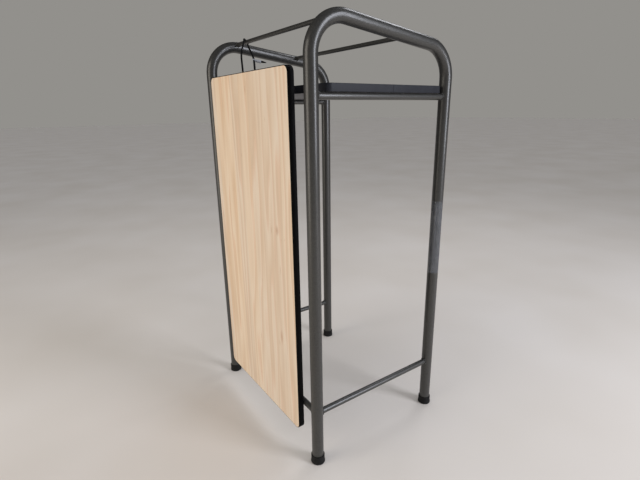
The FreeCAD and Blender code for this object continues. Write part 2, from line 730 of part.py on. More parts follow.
def label_sleeve():
    """Clear sleeve wrapped round the near plain-side leg."""
    outside = place(doc.addObject("Part::Cylinder", "label_outside"), LEG_X, NEAR, "label_low")
    bind(outside, Radius="tube_dia / 2 + label_thickness", Height="label_high - label_low")
    inside = place(doc.addObject("Part::Cylinder", "label_inside"), LEG_X, NEAR, "label_low")
    bind(inside, Radius=TUBE_RADIUS, Height="label_high - label_low")
    return cut("leg_sleeve", outside, inside)


pieces.append(label_sleeve())
doc.recompute()
print("loop built")


# Check and write.

faults = [item.Name for item in doc.Objects if {"Invalid", "Error"} & set(item.State)]
faults += [item.Name for item in pieces if item.Shape.isNull() or not item.Shape.isValid()]
if faults:
    raise RuntimeError("failed: " + ", ".join(faults))

os.makedirs("parts", exist_ok=True)
for piece in pieces:
    piece.Shape.exportStep(f"parts/{piece.Label}.step")
    print(piece.Label, len(piece.Shape.Solids), round(piece.Shape.Volume))
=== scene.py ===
import math

import bmesh
import bpy
from mathutils import Matrix, Vector, noise


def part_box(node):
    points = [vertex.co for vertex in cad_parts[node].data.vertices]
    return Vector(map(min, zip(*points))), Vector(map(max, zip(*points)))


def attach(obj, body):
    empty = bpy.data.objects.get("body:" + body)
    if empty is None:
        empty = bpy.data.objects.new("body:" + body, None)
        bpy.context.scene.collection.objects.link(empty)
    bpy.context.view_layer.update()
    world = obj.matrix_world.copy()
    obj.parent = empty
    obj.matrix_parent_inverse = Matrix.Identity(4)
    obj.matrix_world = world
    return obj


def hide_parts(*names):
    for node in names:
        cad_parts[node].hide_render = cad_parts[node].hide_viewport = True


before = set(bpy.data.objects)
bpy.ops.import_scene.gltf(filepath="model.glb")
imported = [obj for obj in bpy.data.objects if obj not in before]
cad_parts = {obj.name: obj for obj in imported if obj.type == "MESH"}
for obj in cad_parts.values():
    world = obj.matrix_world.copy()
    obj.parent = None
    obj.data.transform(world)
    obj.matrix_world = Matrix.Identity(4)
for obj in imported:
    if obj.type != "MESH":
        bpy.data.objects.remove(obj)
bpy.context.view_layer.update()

# Ironing stand: bent tube frames, a loose shelf and an ironing board hung by a cord loop.
# Sizes in the dictionaries are millimetres; meshes are built in metres in the frame's own space.

milli = 0.001


def mm(*values):
    return Vector(values) * milli


# Node helpers: one adds a node, the rest are short forms of what every material needs.

def put(tree, kind, wires=None, **settings):
    # one node: its settings, then each input as a link or a plain value
    node = tree.nodes.new(kind)
    for name, value in settings.items():
        setattr(node, name, value)
    for key, value in (wires or {}).items():
        if isinstance(value, bpy.types.NodeSocket):
            tree.links.new(value, node.inputs[key])
        else:
            node.inputs[key].default_value = value
    return node


def colour(code):
    # sRGB hex to the linear colour that shaders take
    parts = [int(code[i:i + 2], 16) / 255 for i in (1, 3, 5)]
    linear = [c / 12.92 if c <= 0.04045 else ((c + 0.055) / 1.055) ** 2.4 for c in parts]
    return (*linear, 1.0)


def newMaterial(name, plain):
    material = bpy.data.materials.new(name)
    material.use_nodes = True
    shader = material.node_tree.nodes["Principled BSDF"]
    for key, value in plain.items():
        shader.inputs[key].default_value = value
    return material, material.node_tree, shader


def millimetres(tree, stretch=(1, 1, 1), shift=(0, 0, 0)):
    # the piece's own space, one unit to a millimetre; stretch above 1 packs the pattern closer
    place = put(tree, "ShaderNodeTexCoord").outputs["Object"]
    scale = [1000 * s for s in stretch]
    wires = {"Vector": place, "Scale": scale, "Location": shift}
    return put(tree, "ShaderNodeMapping", wires).outputs[0]


def ramp(tree, value, stops):
    node = put(tree, "ShaderNodeValToRGB", {0: value})
    elements = node.color_ramp.elements
    while len(elements) < len(stops):
        elements.new(0.5)
    for element, (place, code) in zip(elements, stops):
        element.position = place
        element.color = colour(code)
    return node.outputs["Color"]


def spread(tree, value, low, high, start=0.0, end=1.0):
    # value from start..end carried to low..high
    wires = {0: value, 1: start, 2: end, 3: low, 4: high}
    return put(tree, "ShaderNodeMapRange", wires).outputs[0]


def bump(tree, shader, height, depth, strength=1.0):
    # depth is the relief in millimetres
    wires = {"Height": height, "Distance": depth * milli, "Strength": strength}
    node = put(tree, "ShaderNodeBump", wires)
    tree.links.new(node.outputs[0], shader.inputs["Normal"])


def maths(tree, operation, *values):
    return put(tree, "ShaderNodeMath", dict(enumerate(values)), operation=operation).outputs[0]


# Materials, each named for the common material and the way it is made.

def hammeredEnamel():
    # Hammer-finish enamel sprayed on steel tube: dark grey with metal flake, dimpled and glossy,
    # so highlights break into small cells.
    material, tree, shader = newMaterial("hammeredEnamel", {
        "Metallic": 0.4, "Coat Weight": 0.3, "Coat Roughness": 0.16})
    place = millimetres(tree)
    warp = put(tree, "ShaderNodeTexNoise", {"Vector": place, "Scale": 0.25, "Detail": 2.0})
    moved = put(tree, "ShaderNodeVectorMath", {0: place, 1: warp.outputs["Color"]}, operation="ADD")
    cells = put(tree, "ShaderNodeTexVoronoi", {"Vector": moved.outputs[0], "Scale": 0.42,
                                               "Smoothness": 0.7}, feature="SMOOTH_F1")
    flake = put(tree, "ShaderNodeTexNoise", {"Vector": place, "Scale": 1.6, "Detail": 3.0})
    patches = put(tree, "ShaderNodeTexNoise", {"Vector": place, "Scale": 0.02, "Detail": 3.0})
    tone = maths(tree, "MULTIPLY_ADD", cells.outputs["Distance"], 0.5,
                 maths(tree, "MULTIPLY", flake.outputs[0], 0.5))
    paint = ramp(tree, tone, [(0.15, "#4e4d4a"), (0.5, "#41403d"), (0.85, "#353432")])
    tree.links.new(paint, shader.inputs["Base Color"])
    gloss = maths(tree, "MULTIPLY_ADD", patches.outputs[0], 0.1,
                  spread(tree, flake.outputs[0], 0.26, 0.38))
    tree.links.new(gloss, shader.inputs["Roughness"])
    bump(tree, shader, cells.outputs["Distance"], 0.1, 0.45)
    return material


def mouldedRubber():
    # Moulded black rubber: matt, slightly dusty in random patches, with a fine cast grain.
    material, tree, shader = newMaterial("mouldedRubber", {
        "Specular IOR Level": 0.3, "Roughness": 0.62})
    place = millimetres(tree)
    grit = put(tree, "ShaderNodeTexNoise", {"Vector": place, "Scale": 2.2, "Detail": 4.0})
    dust = put(tree, "ShaderNodeTexNoise", {"Vector": place, "Scale": 0.12, "Detail": 3.0})
    skin = ramp(tree, dust.outputs[0], [(0.35, "#0b0a0a"), (0.7, "#181716")])
    tree.links.new(skin, shader.inputs["Base Color"])
    tree.links.new(spread(tree, grit.outputs[0], 0.52, 0.74), shader.inputs["Roughness"])
    bump(tree, shader, grit.outputs[0], 0.05, 0.6)
    return material


def platedSteel(name, tint, roughness):
    # Plated steel: bright thin plating over turned metal, with fine rings and handling marks.
    material, tree, shader = newMaterial(name, {"Metallic": 1.0, "Roughness": roughness})
    place = millimetres(tree)
    marks = put(tree, "ShaderNodeTexNoise", {"Vector": place, "Scale": 0.9, "Detail": 5.0})
    turned = millimetres(tree, (0.4, 0.4, 9.0))
    rings = put(tree, "ShaderNodeTexNoise", {"Vector": turned, "Scale": 1.0})
    plating = ramp(tree, marks.outputs[0], [(0.3, tint), (0.75, "#8f8d86")])
    tree.links.new(plating, shader.inputs["Base Color"])
    tree.links.new(spread(tree, marks.outputs[0], roughness - 0.08, roughness + 0.12),
                   shader.inputs["Roughness"])
    bump(tree, shader, rings.outputs[0], 0.02, 0.4)
    return material


pine = {
    "staveWidth": 41.0,      # glued staves across the panel
    "staveShift": 13.0,      # moves the glue lines off the panel's middle
    "ringPitch": 34.0,       # soft bands of early and late wood, crown cut
    "ringDrift": 620.0,      # length over which a growth line wanders
    "fibrePitch": 0.7,       # drawn coarse, a real fibre is finer than the render shows
    "fleckGrid": (16.0, 90.0),   # cell of the grid that may hold one resin fleck, across and along
    "fleckShare": 0.28,      # share of the cells that hold one
    "pale": "#efdcc4",
    "early": "#e6cdb0",
    "late": "#d9b996",
    "rosy": "#e6c2a2",
    "fleck": "#b0744a",
}


def gluedPine(name, axes, marks):
    # Edge-glued pine, planed and clear-lacquered: pale staves of slightly different tone, long
    # tan growth lines, short resin flecks and a few flame-shaped marks round hidden knots.
    material, tree, shader = newMaterial(name, {
        "IOR": 1.5, "Coat Weight": 0.12, "Coat Roughness": 0.35})
    parts = put(tree, "ShaderNodeSeparateXYZ", {0: millimetres(tree)})
    across, along, through = (parts.outputs[axis] for axis in axes)

    warped = put(tree, "ShaderNodeTexNoise", {"Vector": millimetres(tree), "Scale": 0.004,
                                              "Detail": 1.0})
    drift = spread(tree, warped.outputs[0], -3, 3)
    stave = maths(tree, "FLOOR", maths(tree, "DIVIDE", maths(tree, "ADD", across, pine["staveShift"]),
                                       pine["staveWidth"]))
    dice = put(tree, "ShaderNodeTexWhiteNoise", {"W": stave}, noise_dimensions="1D").outputs[0]

    def stretched(acrossScale, alongScale, offset, detail, rough=0.5):
        # noise that is long in the grain's direction and starts anew in each stave
        point = put(tree, "ShaderNodeCombineXYZ", {
            0: maths(tree, "MULTIPLY", across, acrossScale),
            1: maths(tree, "MULTIPLY_ADD", dice, offset,
                     maths(tree, "MULTIPLY", along, alongScale)),
            2: maths(tree, "MULTIPLY", through, acrossScale)})
        wires = {"Vector": point.outputs[0], "Scale": 1.0, "Detail": detail, "Roughness": rough}
        return put(tree, "ShaderNodeTexNoise", wires).outputs[0]

    wander = stretched(0.022, 1 / pine["ringDrift"], 40.0, 2.0)
    phase = maths(tree, "MULTIPLY_ADD", wander, 5.0,
                  maths(tree, "DIVIDE", maths(tree, "ADD", across, drift), pine["ringPitch"]))
    ring = maths(tree, "FRACT", phase)
    rings = ramp(tree, ring, [(0.0, pine["pale"]), (0.4, pine["early"]), (0.72, pine["late"]),
                              (0.86, pine["rosy"]), (1.0, pine["pale"])])
    cloudy = stretched(0.03, 0.0022, 17.0, 3.0)
    body = put(tree, "ShaderNodeMix", {0: spread(tree, cloudy, 0.05, 0.7), 6: rings,
                                       7: colour(pine["early"])}, data_type="RGBA")
    fibre = stretched(1 / pine["fibrePitch"], 0.011, 5.0, 3.0, 0.65)
    lines = put(tree, "ShaderNodeMix", {0: 0.24, 6: body.outputs[2],
                                        7: ramp(tree, fibre, [(0.3, "#c9c0b4"), (0.62, "#ffffff")])},
                data_type="RGBA", blend_type="MULTIPLY")
    tone = put(tree, "ShaderNodeHueSaturation", {
        "Saturation": spread(tree, dice, 0.92, 1.06), "Value": spread(tree, dice, 0.96, 1.03),
        "Color": lines.outputs[2]})

    # resin flecks: one thin streak in some cells of a long grid
    wide, long = (1 / size for size in pine["fleckGrid"])
    cell = put(tree, "ShaderNodeCombineXYZ", {
        0: maths(tree, "MULTIPLY", across, wide), 1: maths(tree, "MULTIPLY", along, long),
        2: maths(tree, "MULTIPLY", through, long)})
    streak = put(tree, "ShaderNodeTexVoronoi", {"Vector": cell.outputs[0], "Scale": 1.0})
    lot = put(tree, "ShaderNodeSeparateXYZ", {0: streak.outputs["Color"]}).outputs[0]
    chosen = maths(tree, "GREATER_THAN", lot, 1 - pine["fleckShare"])
    core = spread(tree, streak.outputs["Distance"], 0.5, 0.0, 0.0, 0.07)
    fleck = maths(tree, "MULTIPLY", chosen, core)

    # flame marks round hidden knots
    flames = fleck
    for acrossAt, alongAt, halfWidth, halfLength in marks:
        offset = put(tree, "ShaderNodeCombineXYZ", {
            0: maths(tree, "DIVIDE", maths(tree, "SUBTRACT", across, acrossAt), halfWidth),
            1: maths(tree, "DIVIDE", maths(tree, "SUBTRACT", along, alongAt), halfLength)})
        reach = put(tree, "ShaderNodeVectorMath", {0: offset.outputs[0]}, operation="LENGTH")
        ragged = maths(tree, "MULTIPLY_ADD", fibre, 0.7, reach.outputs["Value"])
        flames = maths(tree, "MAXIMUM", flames, spread(tree, ragged, 0.55, 0.0, 0.35, 1.35))
    wood = put(tree, "ShaderNodeMix", {0: flames, 6: tone.outputs[0], 7: colour(pine["fleck"])},
               data_type="RGBA")
    tree.links.new(wood.outputs[2], shader.inputs["Base Color"])
    tree.links.new(spread(tree, fibre, 0.4, 0.55), shader.inputs["Roughness"])
    bump(tree, shader, fibre, 0.06, 0.35)
    return material


def extrudedPvc(name, dark, light, roughness):
    # Extruded PVC edging: satin to dull, smooth along its run, with faint scuffs and a fine grain.
    material, tree, shader = newMaterial(name, {"Specular IOR Level": 0.15, "Roughness": roughness})
    place = millimetres(tree)
    scuffs = put(tree, "ShaderNodeTexNoise", {"Vector": place, "Scale": 0.06, "Detail": 5.0})
    grain = put(tree, "ShaderNodeTexNoise", {"Vector": place, "Scale": 1.4, "Detail": 2.0})
    skin = ramp(tree, scuffs.outputs[0], [(0.35, dark), (0.75, light)])
    tree.links.new(skin, shader.inputs["Base Color"])
    tree.links.new(spread(tree, scuffs.outputs[0], roughness - 0.08, roughness + 0.12),
                   shader.inputs["Roughness"])
    bump(tree, shader, grain.outputs[0], 0.03, 0.35)
    return material


def pressedLaminate():
    # Dark grey melamine laminate pressed on board: even tone, very fine pebble, soft sheen.
    material, tree, shader = newMaterial("pressedLaminate", {"IOR": 1.5, "Roughness": 0.5})
    place = millimetres(tree)
    pebble = put(tree, "ShaderNodeTexNoise", {"Vector": place, "Scale": 1.1, "Detail": 3.0})
    wear = put(tree, "ShaderNodeTexNoise", {"Vector": place, "Scale": 0.02, "Detail": 5.0})
    skin = ramp(tree, wear.outputs[0], [(0.3, "#56565b"), (0.7, "#5f5f64")])
    tree.links.new(skin, shader.inputs["Base Color"])
    tree.links.new(spread(tree, wear.outputs[0], 0.42, 0.6), shader.inputs["Roughness"])
    bump(tree, shader, pebble.outputs[0], 0.04, 0.4)
    return material


def needledFelt():
    # Needled grey wool felt: no gloss at all, tangled fibres and a cloudy tone.
    material, tree, shader = newMaterial("needledFelt", {"Roughness": 0.95, "Sheen Weight": 0.3})
    place = millimetres(tree)
    hairs = put(tree, "ShaderNodeTexNoise", {"Vector": place, "Scale": 1.3, "Detail": 6.0,
                                             "Distortion": 2.5})
    felt = ramp(tree, hairs.outputs[0], [(0.3, "#6f6d68"), (0.7, "#a19e96")])
    tree.links.new(felt, shader.inputs["Base Color"])
    bump(tree, shader, hairs.outputs[0], 0.3, 0.8)
    return material


def wovenCotton():
    # Plain-woven black cotton: over-and-under threads, with a soft bloom at grazing angles.
    threadTurn = 1.3         # drawn about three times the real spacing, so that the threads show
    material, tree, shader = newMaterial("wovenCotton", {
        "Roughness": 0.86, "Sheen Weight": 0.25, "Sheen Roughness": 0.5})
    turns = 2 * math.pi / threadTurn
    parts = put(tree, "ShaderNodeSeparateXYZ", {0: millimetres(tree)})
    warp = maths(tree, "SINE", maths(tree, "MULTIPLY", parts.outputs["Y"], turns))
    weft = maths(tree, "SINE", maths(tree, "MULTIPLY", parts.outputs["Z"], turns))
    weave = spread(tree, maths(tree, "MULTIPLY", warp, weft), 0.0, 1.0, -1.0, 1.0)
    slub = put(tree, "ShaderNodeTexNoise", {"Vector": millimetres(tree, (1, 3.0, 0.12)),
                                            "Scale": 0.5, "Detail": 3.0})
    worn = put(tree, "ShaderNodeTexNoise", {"Vector": millimetres(tree), "Scale": 0.008,
                                            "Detail": 4.0})
    mixed = maths(tree, "MULTIPLY_ADD", weave, 0.45,
                  maths(tree, "MULTIPLY_ADD", slub.outputs[0], 0.35,
                        maths(tree, "MULTIPLY", worn.outputs[0], 0.3)))
    cloth = ramp(tree, mixed, [(0.25, "#141415"), (0.8, "#2e2e30")])
    tree.links.new(cloth, shader.inputs["Base Color"])
    bump(tree, shader, weave, 0.18, 0.8)
    return material


def braidedPolyester():
    # Braided black polyester, a little silky: the tone follows the plait, with painted shade in the
    # valleys between strands and a painted highlight on its crowns.
    material, tree, shader = newMaterial("braidedPolyester", {
        "Roughness": 0.75, "Specular IOR Level": 0.2})
    # plaitCrown is 1 on the plait's crowns and 0 in its valleys: here it paints shade into the valleys
    # and lighter tone onto the crowns
    crown = put(tree, "ShaderNodeAttribute", attribute_name="plaitCrown").outputs["Fac"]
    fuzz = put(tree, "ShaderNodeTexNoise", {"Vector": millimetres(tree), "Scale": 3.0, "Detail": 3.0})
    mixed = maths(tree, "MULTIPLY_ADD", crown, 0.7, maths(tree, "MULTIPLY", fuzz.outputs[0], 0.4))
    yarnWithPaintedShade = ramp(tree, mixed, [(0.15, "#020202"), (0.9, "#0c0c0d")])
    tree.links.new(yarnWithPaintedShade, shader.inputs["Base Color"])
    bump(tree, shader, fuzz.outputs[0], 0.05, 0.5)
    return material


def mouldedNylon(name, dark, light, roughness):
    # Injection-moulded nylon: semi-matt with a soft mottled skin.
    material, tree, shader = newMaterial(name, {"IOR": 1.53, "Roughness": roughness})
    place = millimetres(tree)
    mottle = put(tree, "ShaderNodeTexNoise", {"Vector": place, "Scale": 0.8, "Detail": 4.0})
    skin = ramp(tree, mottle.outputs[0], [(0.3, dark), (0.7, light)])
    tree.links.new(skin, shader.inputs["Base Color"])
    tree.links.new(spread(tree, mottle.outputs[0], roughness - 0.06, roughness + 0.1),
                   shader.inputs["Roughness"])
    bump(tree, shader, mottle.outputs[0], 0.03, 0.4)
    return material


def clearFilm():
    # Clear vinyl film wrapped round the tube: thin, slightly milky and glossier than the paint.
    material, tree, shader = newMaterial("clearFilm", {
        "IOR": 1.5, "Coat Weight": 0.6, "Coat Roughness": 0.08, "Roughness": 0.22})
    place = millimetres(tree)
    haze = put(tree, "ShaderNodeTexNoise", {"Vector": place, "Scale": 0.05, "Detail": 4.0})
    film = ramp(tree, haze.outputs[0], [(0.3, "#777a80"), (0.7, "#8d9096")])
    tree.links.new(film, shader.inputs["Base Color"])
    tree.links.new(spread(tree, haze.outputs[0], 0.1, 0.26), shader.inputs["Alpha"])
    bump(tree, shader, haze.outputs[0], 0.1, 0.5)
    return material


def paintedFloor():
    # Matt painted studio floor: pale and even, with a barely visible roller texture.
    material, tree, shader = newMaterial("paintedFloor", {"Roughness": 0.7})
    place = millimetres(tree)
    roller = put(tree, "ShaderNodeTexNoise", {"Vector": place, "Scale": 0.3, "Detail": 3.0})
    cloudy = put(tree, "ShaderNodeTexNoise", {"Vector": place, "Scale": 0.002, "Detail": 2.0})
    coat = ramp(tree, cloudy.outputs[0], [(0.3, "#d2cac0"), (0.7, "#d9d2ca")])
    tree.links.new(coat, shader.inputs["Base Color"])
    bump(tree, shader, roller.outputs[0], 0.1, 0.2)
    return material


# Geometry helpers.

def newTree(name, sockets):
    # a Geometry Nodes tree with a geometry socket each way and the named inputs
    tree = bpy.data.node_groups.new(name, "GeometryNodeTree")
    tree.interface.new_socket("Geometry", in_out="INPUT", socket_type="NodeSocketGeometry")
    tree.interface.new_socket("Geometry", in_out="OUTPUT", socket_type="NodeSocketGeometry")
    for label, kind in sockets.items():
        tree.interface.new_socket(label, in_out="INPUT", socket_type="NodeSocket" + kind)
    return tree, put(tree, "NodeGroupInput").outputs


def closeTree(tree, geometry, material):
    real = put(tree, "GeometryNodeRealizeInstances", {0: geometry})
    painted = put(tree, "GeometryNodeSetMaterial", {0: real.outputs[0], "Material": material})
    put(tree, "NodeGroupOutput", {0: painted.outputs[0]})


def lineObject(name, lines, cyclic=False, nurbs=False):
    # a curve object of straight runs, or of splines steered by the points
    curve = bpy.data.curves.new(name, "CURVE")
    curve.dimensions = "3D"
    for points in lines:
        spline = curve.splines.new("NURBS" if nurbs else "POLY")
        spline.points.add(len(points) - 1)
        for target, point in zip(spline.points, points):
            target.co = (*point, 1.0)
        spline.use_cyclic_u = cyclic
        if nurbs:
            spline.order_u = 3
            spline.use_endpoint_u = True
            spline.resolution_u = 24
    made = bpy.data.objects.new(name, curve)
    bpy.context.scene.collection.objects.link(made)
    return made


def grown(name, base, tree, values):
    # the tree's result on base as a plain mesh; base itself goes
    modifier = base.modifiers.new(tree.name, "NODES")
    modifier.node_group = tree
    for item in tree.interface.items_tree:
        if item.in_out == "INPUT" and item.name in values:
            modifier[item.identifier] = values[item.name]
    graph = bpy.context.evaluated_depsgraph_get()
    mesh = bpy.data.meshes.new_from_object(base.evaluated_get(graph), depsgraph=graph)
    bpy.data.objects.remove(base)
    mesh.name = name
    return meshObject(name, mesh)


def meshObject(name, mesh):
    made = bpy.data.objects.new(name, mesh)
    bpy.context.scene.collection.objects.link(made)
    return made


mergeDistance = 1e-6         # metres; points nearer than this are one


def fromFaces(name, points, faces, material):
    mesh = bpy.data.meshes.new(name)
    mesh.from_pydata([tuple(p) for p in points], [], faces)
    shell = bmesh.new()
    shell.from_mesh(mesh)
    bmesh.ops.remove_doubles(shell, verts=shell.verts, dist=mergeDistance)
    bmesh.ops.recalc_face_normals(shell, faces=shell.faces)
    for face in shell.faces:
        face.smooth = True
    shell.to_mesh(mesh)
    shell.free()
    mesh.materials.append(material)
    return meshObject(name, mesh)


def arc(centre, radius, start, end, steps):
    # points of an arc in a profile, angles in degrees
    made = []
    for step in range(steps + 1):
        angle = math.radians(start + (end - start) * step / steps)
        made.append((centre[0] + radius * math.cos(angle), centre[1] + radius * math.sin(angle)))
    return made


def lathe(name, profile, root, axis, sides, material):
    # profile of (radius, height) in millimetres turned about an axis that starts at root
    turn = Vector((0, 0, 1)).rotation_difference(Vector(axis)).to_matrix()
    points, faces = [], []
    for radius, height in profile:
        for step in range(sides):
            angle = 2 * math.pi * step / sides
            spot = mm(radius * math.cos(angle), radius * math.sin(angle), height)
            points.append(Vector(root) + turn @ spot)
    for row in range(len(profile) - 1):
        for step in range(sides):
            after = (step + 1) % sides
            faces.append((row * sides + step, row * sides + after,
                          (row + 1) * sides + after, (row + 1) * sides + step))
    return fromFaces(name, points, faces, material)


def softEdges(piece, angle):
    # keeps edges sharper than the angle, in degrees, crisp on a smooth-shaded piece
    piece.data.set_sharp_from_angle(angle=math.radians(angle))


def hand(piece, body, slot, *nodes):
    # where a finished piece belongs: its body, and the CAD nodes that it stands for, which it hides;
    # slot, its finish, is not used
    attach(piece, body)
    if nodes:
        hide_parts(*nodes)
    return piece


def paintNode(node, material):
    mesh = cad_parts[node].data
    mesh.materials.clear()
    mesh.materials.append(material)


# Camera, light and floor.

cameraSet = {"place": (-582.2, -827.8, 727.3), "focal": 23.806, "yaw": 55.19, "pitch": 16.96,
             "roll": -0.843, "clip": (0.01, 100)}


def makeCamera():
    yaw, pitch, roll = (math.radians(cameraSet[key]) for key in ("yaw", "pitch", "roll"))
    ahead = Vector((math.cos(yaw) * math.cos(pitch), math.sin(yaw) * math.cos(pitch),
                    -math.sin(pitch)))
    level = Vector((math.sin(yaw), -math.cos(yaw), 0))
    over = level.cross(ahead)
    right = level * math.cos(roll) + over * math.sin(roll)
    up = over * math.cos(roll) - level * math.sin(roll)
    data = bpy.data.cameras.new("camera")
    data.lens = cameraSet["focal"]
    data.clip_start, data.clip_end = cameraSet["clip"]
    camera = bpy.data.objects.new("camera", data)
    bpy.context.scene.collection.objects.link(camera)
    facing = Matrix((right, up, -ahead)).transposed().to_4x4()
    camera.matrix_world = Matrix.Translation(mm(*cameraSet["place"])) @ facing
    bpy.context.scene.camera = camera


panels = {  # place and target in millimetres, size in metres, power in watts
    "overhead": {"place": (1500, 300, 2300), "target": (0, 0, 600), "size": (0.7, 0.7),
                 "power": 8, "tint": "#f8f9ff"},
    "leftPanel": {"place": (-2590, 230, 1100), "target": (0, 0, 450), "size": (1.6, 2.4),
                  "power": 33, "tint": "#fff8ee"},
    "rightPanel": {"place": (1014, -2175, 1250), "target": (0, 0, 450), "size": (0.8, 1.8),
                   "power": 46, "tint": "#ecf0fc"},
}
# sky lights matt surfaces, room is what gloss reflects, backdrop is what stands behind the object
studio = {"sky": "#bcbec2", "room": "#313133", "backdrop": "#92908c"}
floorHalf = 30.0             # metres, from the middle to the edge


def makeLight():
    for name, panel in panels.items():
        data = bpy.data.lights.new(name, "AREA")
        data.energy = panel["power"]
        data.color = colour(panel["tint"])[:3]
        data.shape = "RECTANGLE"
        data.size, data.size_y = panel["size"]
        lamp = bpy.data.objects.new(name, data)
        bpy.context.scene.collection.objects.link(lamp)
        lamp.location = mm(*panel["place"])
        aim = mm(*panel["target"]) - mm(*panel["place"])
        lamp.rotation_euler = aim.to_track_quat("-Z", "Y").to_euler()
    world = bpy.data.worlds.new("studio")
    world.use_nodes = True
    bpy.context.scene.world = world
    tree = world.node_tree
    tree.nodes.clear()
    path = put(tree, "ShaderNodeLightPath").outputs
    lit = put(tree, "ShaderNodeMix", {0: path["Is Glossy Ray"], 6: colour(studio["sky"]),
                                      7: colour(studio["room"])}, data_type="RGBA")
    seen = put(tree, "ShaderNodeMix", {0: path["Is Camera Ray"], 6: lit.outputs[2],
                                       7: colour(studio["backdrop"])}, data_type="RGBA")
    glow = put(tree, "ShaderNodeBackground", {0: seen.outputs[2], 1: 1.0})
    put(tree, "ShaderNodeOutputWorld", {0: glow.outputs[0]})
    bpy.context.scene.view_settings.view_transform = "Standard"


def makeFloor():
    corners = [(x * floorHalf, y * floorHalf, 0) for x, y in ((-1, -1), (1, -1), (1, 1), (-1, 1))]
    floor = fromFaces("floor", corners, [(0, 1, 2, 3)], paintedFloor())


makeCamera()
makeLight()
makeFloor()
print("camera, light and floor made")

enamel = hammeredEnamel()
rubber = mouldedRubber()
zinc = platedSteel("zincPlatedSteel", "#c9c6bb", 0.34)
nickel = platedSteel("nickelPlatedSteel", "#d8d4c8", 0.22)
# the shelf's edging is the board's black edging painted a lighter bluish grey: partly a dark tone of its
# own, partly painted reflection of the bluish room
shelfPvcPaintedReflection = extrudedPvc("greyPvcPaintedReflection", "#25262b", "#2e2f34", 0.45)
boardPvc = extrudedPvc("blackPvc", "#020203", "#060607", 0.6)
cordYarn = braidedPolyester()
claspNylon = mouldedNylon("greyNylon", "#8d9096", "#a7a9ad", 0.4)
print("materials made")


# Bent frames, rods and welds.

bentFrame = {"tubeRadius": 12.5, "bendRadius": 64, "highCorner": 887, "lowCorner": 843,
             "bendSteps": 18, "sides": 48}
rodSides = 32
weld = {"beadRadius": 1.35, "rippleRadius": 1.75, "rippleStep": 1.7, "rippleFlat": 0.45, "seed": 7,
        "steps": 40, "proud": 0.35}


def sweptBarTree():
    # a round bar along straight runs whose corners it rounds
    tree, given = newTree("sweptBar", {"Radius": "Float", "Bend Radius": "Float", "Bend Steps": "Int",
                                       "Sides": "Int", "Material": "Material"})
    bent = put(tree, "GeometryNodeFilletCurve", {
        "Curve": given["Geometry"], "Count": given["Bend Steps"], "Radius": given["Bend Radius"]},
        mode="POLY")
    section = put(tree, "GeometryNodeCurvePrimitiveCircle", {"Resolution": given["Sides"],
                                                             "Radius": given["Radius"]})
    bar = put(tree, "GeometryNodeCurveToMesh", {"Curve": bent.outputs[0], "Fill Caps": True,
                                                "Profile Curve": section.outputs[0]})
    smooth = put(tree, "GeometryNodeSetShadeSmooth", {0: bar.outputs[0]})
    closeTree(tree, smooth.outputs[0], given["Material"])
    return tree


def weldTree():
    # a bead round each saddle line, with overlapping ripples set along it
    tree, given = newTree("weldBead", {"Bead Radius": "Float", "Ripple Radius": "Float",
                                       "Ripple Step": "Float", "Ripple Flat": "Float", "Seed": "Int",
                                       "Material": "Material"})
    section = put(tree, "GeometryNodeCurvePrimitiveCircle", {"Resolution": 8,
                                                             "Radius": given["Bead Radius"]})
    bead = put(tree, "GeometryNodeCurveToMesh", {"Curve": given["Geometry"],
                                                 "Profile Curve": section.outputs[0]})
    steps = put(tree, "GeometryNodeResampleCurve", {"Curve": given["Geometry"],
                                                    "Length": given["Ripple Step"]}, mode="LENGTH")
    ball = put(tree, "GeometryNodeMeshIcoSphere", {"Radius": given["Ripple Radius"],
                                                   "Subdivisions": 2})
    flat = put(tree, "ShaderNodeCombineXYZ", {0: 1.0, 1: 1.0, 2: given["Ripple Flat"]})
    scale = put(tree, "FunctionNodeRandomValue", {2: 0.85, 3: 1.12, "Seed": given["Seed"]})
    sized = put(tree, "ShaderNodeVectorMath", {0: flat.outputs[0], "Scale": scale.outputs[1]},
                operation="SCALE")
    turned = put(tree, "FunctionNodeAlignRotationToVector", {
        "Vector": put(tree, "GeometryNodeInputTangent").outputs[0]}, axis="Z")
    ripples = put(tree, "GeometryNodeInstanceOnPoints", {
        "Points": steps.outputs[0], "Instance": ball.outputs[0], "Rotation": turned.outputs[0],
        "Scale": sized.outputs[0]})
    both = put(tree, "GeometryNodeJoinGeometry", {0: bead.outputs[0]})
    tree.links.new(ripples.outputs[0], both.inputs[0])
    smooth = put(tree, "GeometryNodeSetShadeSmooth", {0: both.outputs[0]})
    closeTree(tree, smooth.outputs[0], given["Material"])
    return tree


sweptBar = sweptBarTree()
weldBead = weldTree()


def barAlong(name, points, radius, bendRadius, sides):
    values = {"Radius": radius * milli, "Bend Radius": bendRadius * milli,
              "Bend Steps": bentFrame["bendSteps"], "Sides": sides, "Material": enamel}
    return grown(name, lineObject(name + "Line", [points]), sweptBar, values)


def makeFrames():
    # the box of a frame is its outside; the foot is where the tube stands on its washer
    for node, name in (("near_leg_frame", "nearBentFrame"), ("far_leg_frame", "farBentFrame")):
        low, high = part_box(node)
        inset = bentFrame["tubeRadius"] * milli
        left, right, y = low.x + inset, high.x - inset, (low.y + high.y) / 2
        points = [(left, y, low.z), (left, y, bentFrame["highCorner"] * milli),
                  (right, y, bentFrame["lowCorner"] * milli), (right, y, low.z)]
        tube = barAlong(name, points, bentFrame["tubeRadius"], bentFrame["bendRadius"],
                        bentFrame["sides"])
        hand(tube, "frame", "hammered_paint", node)


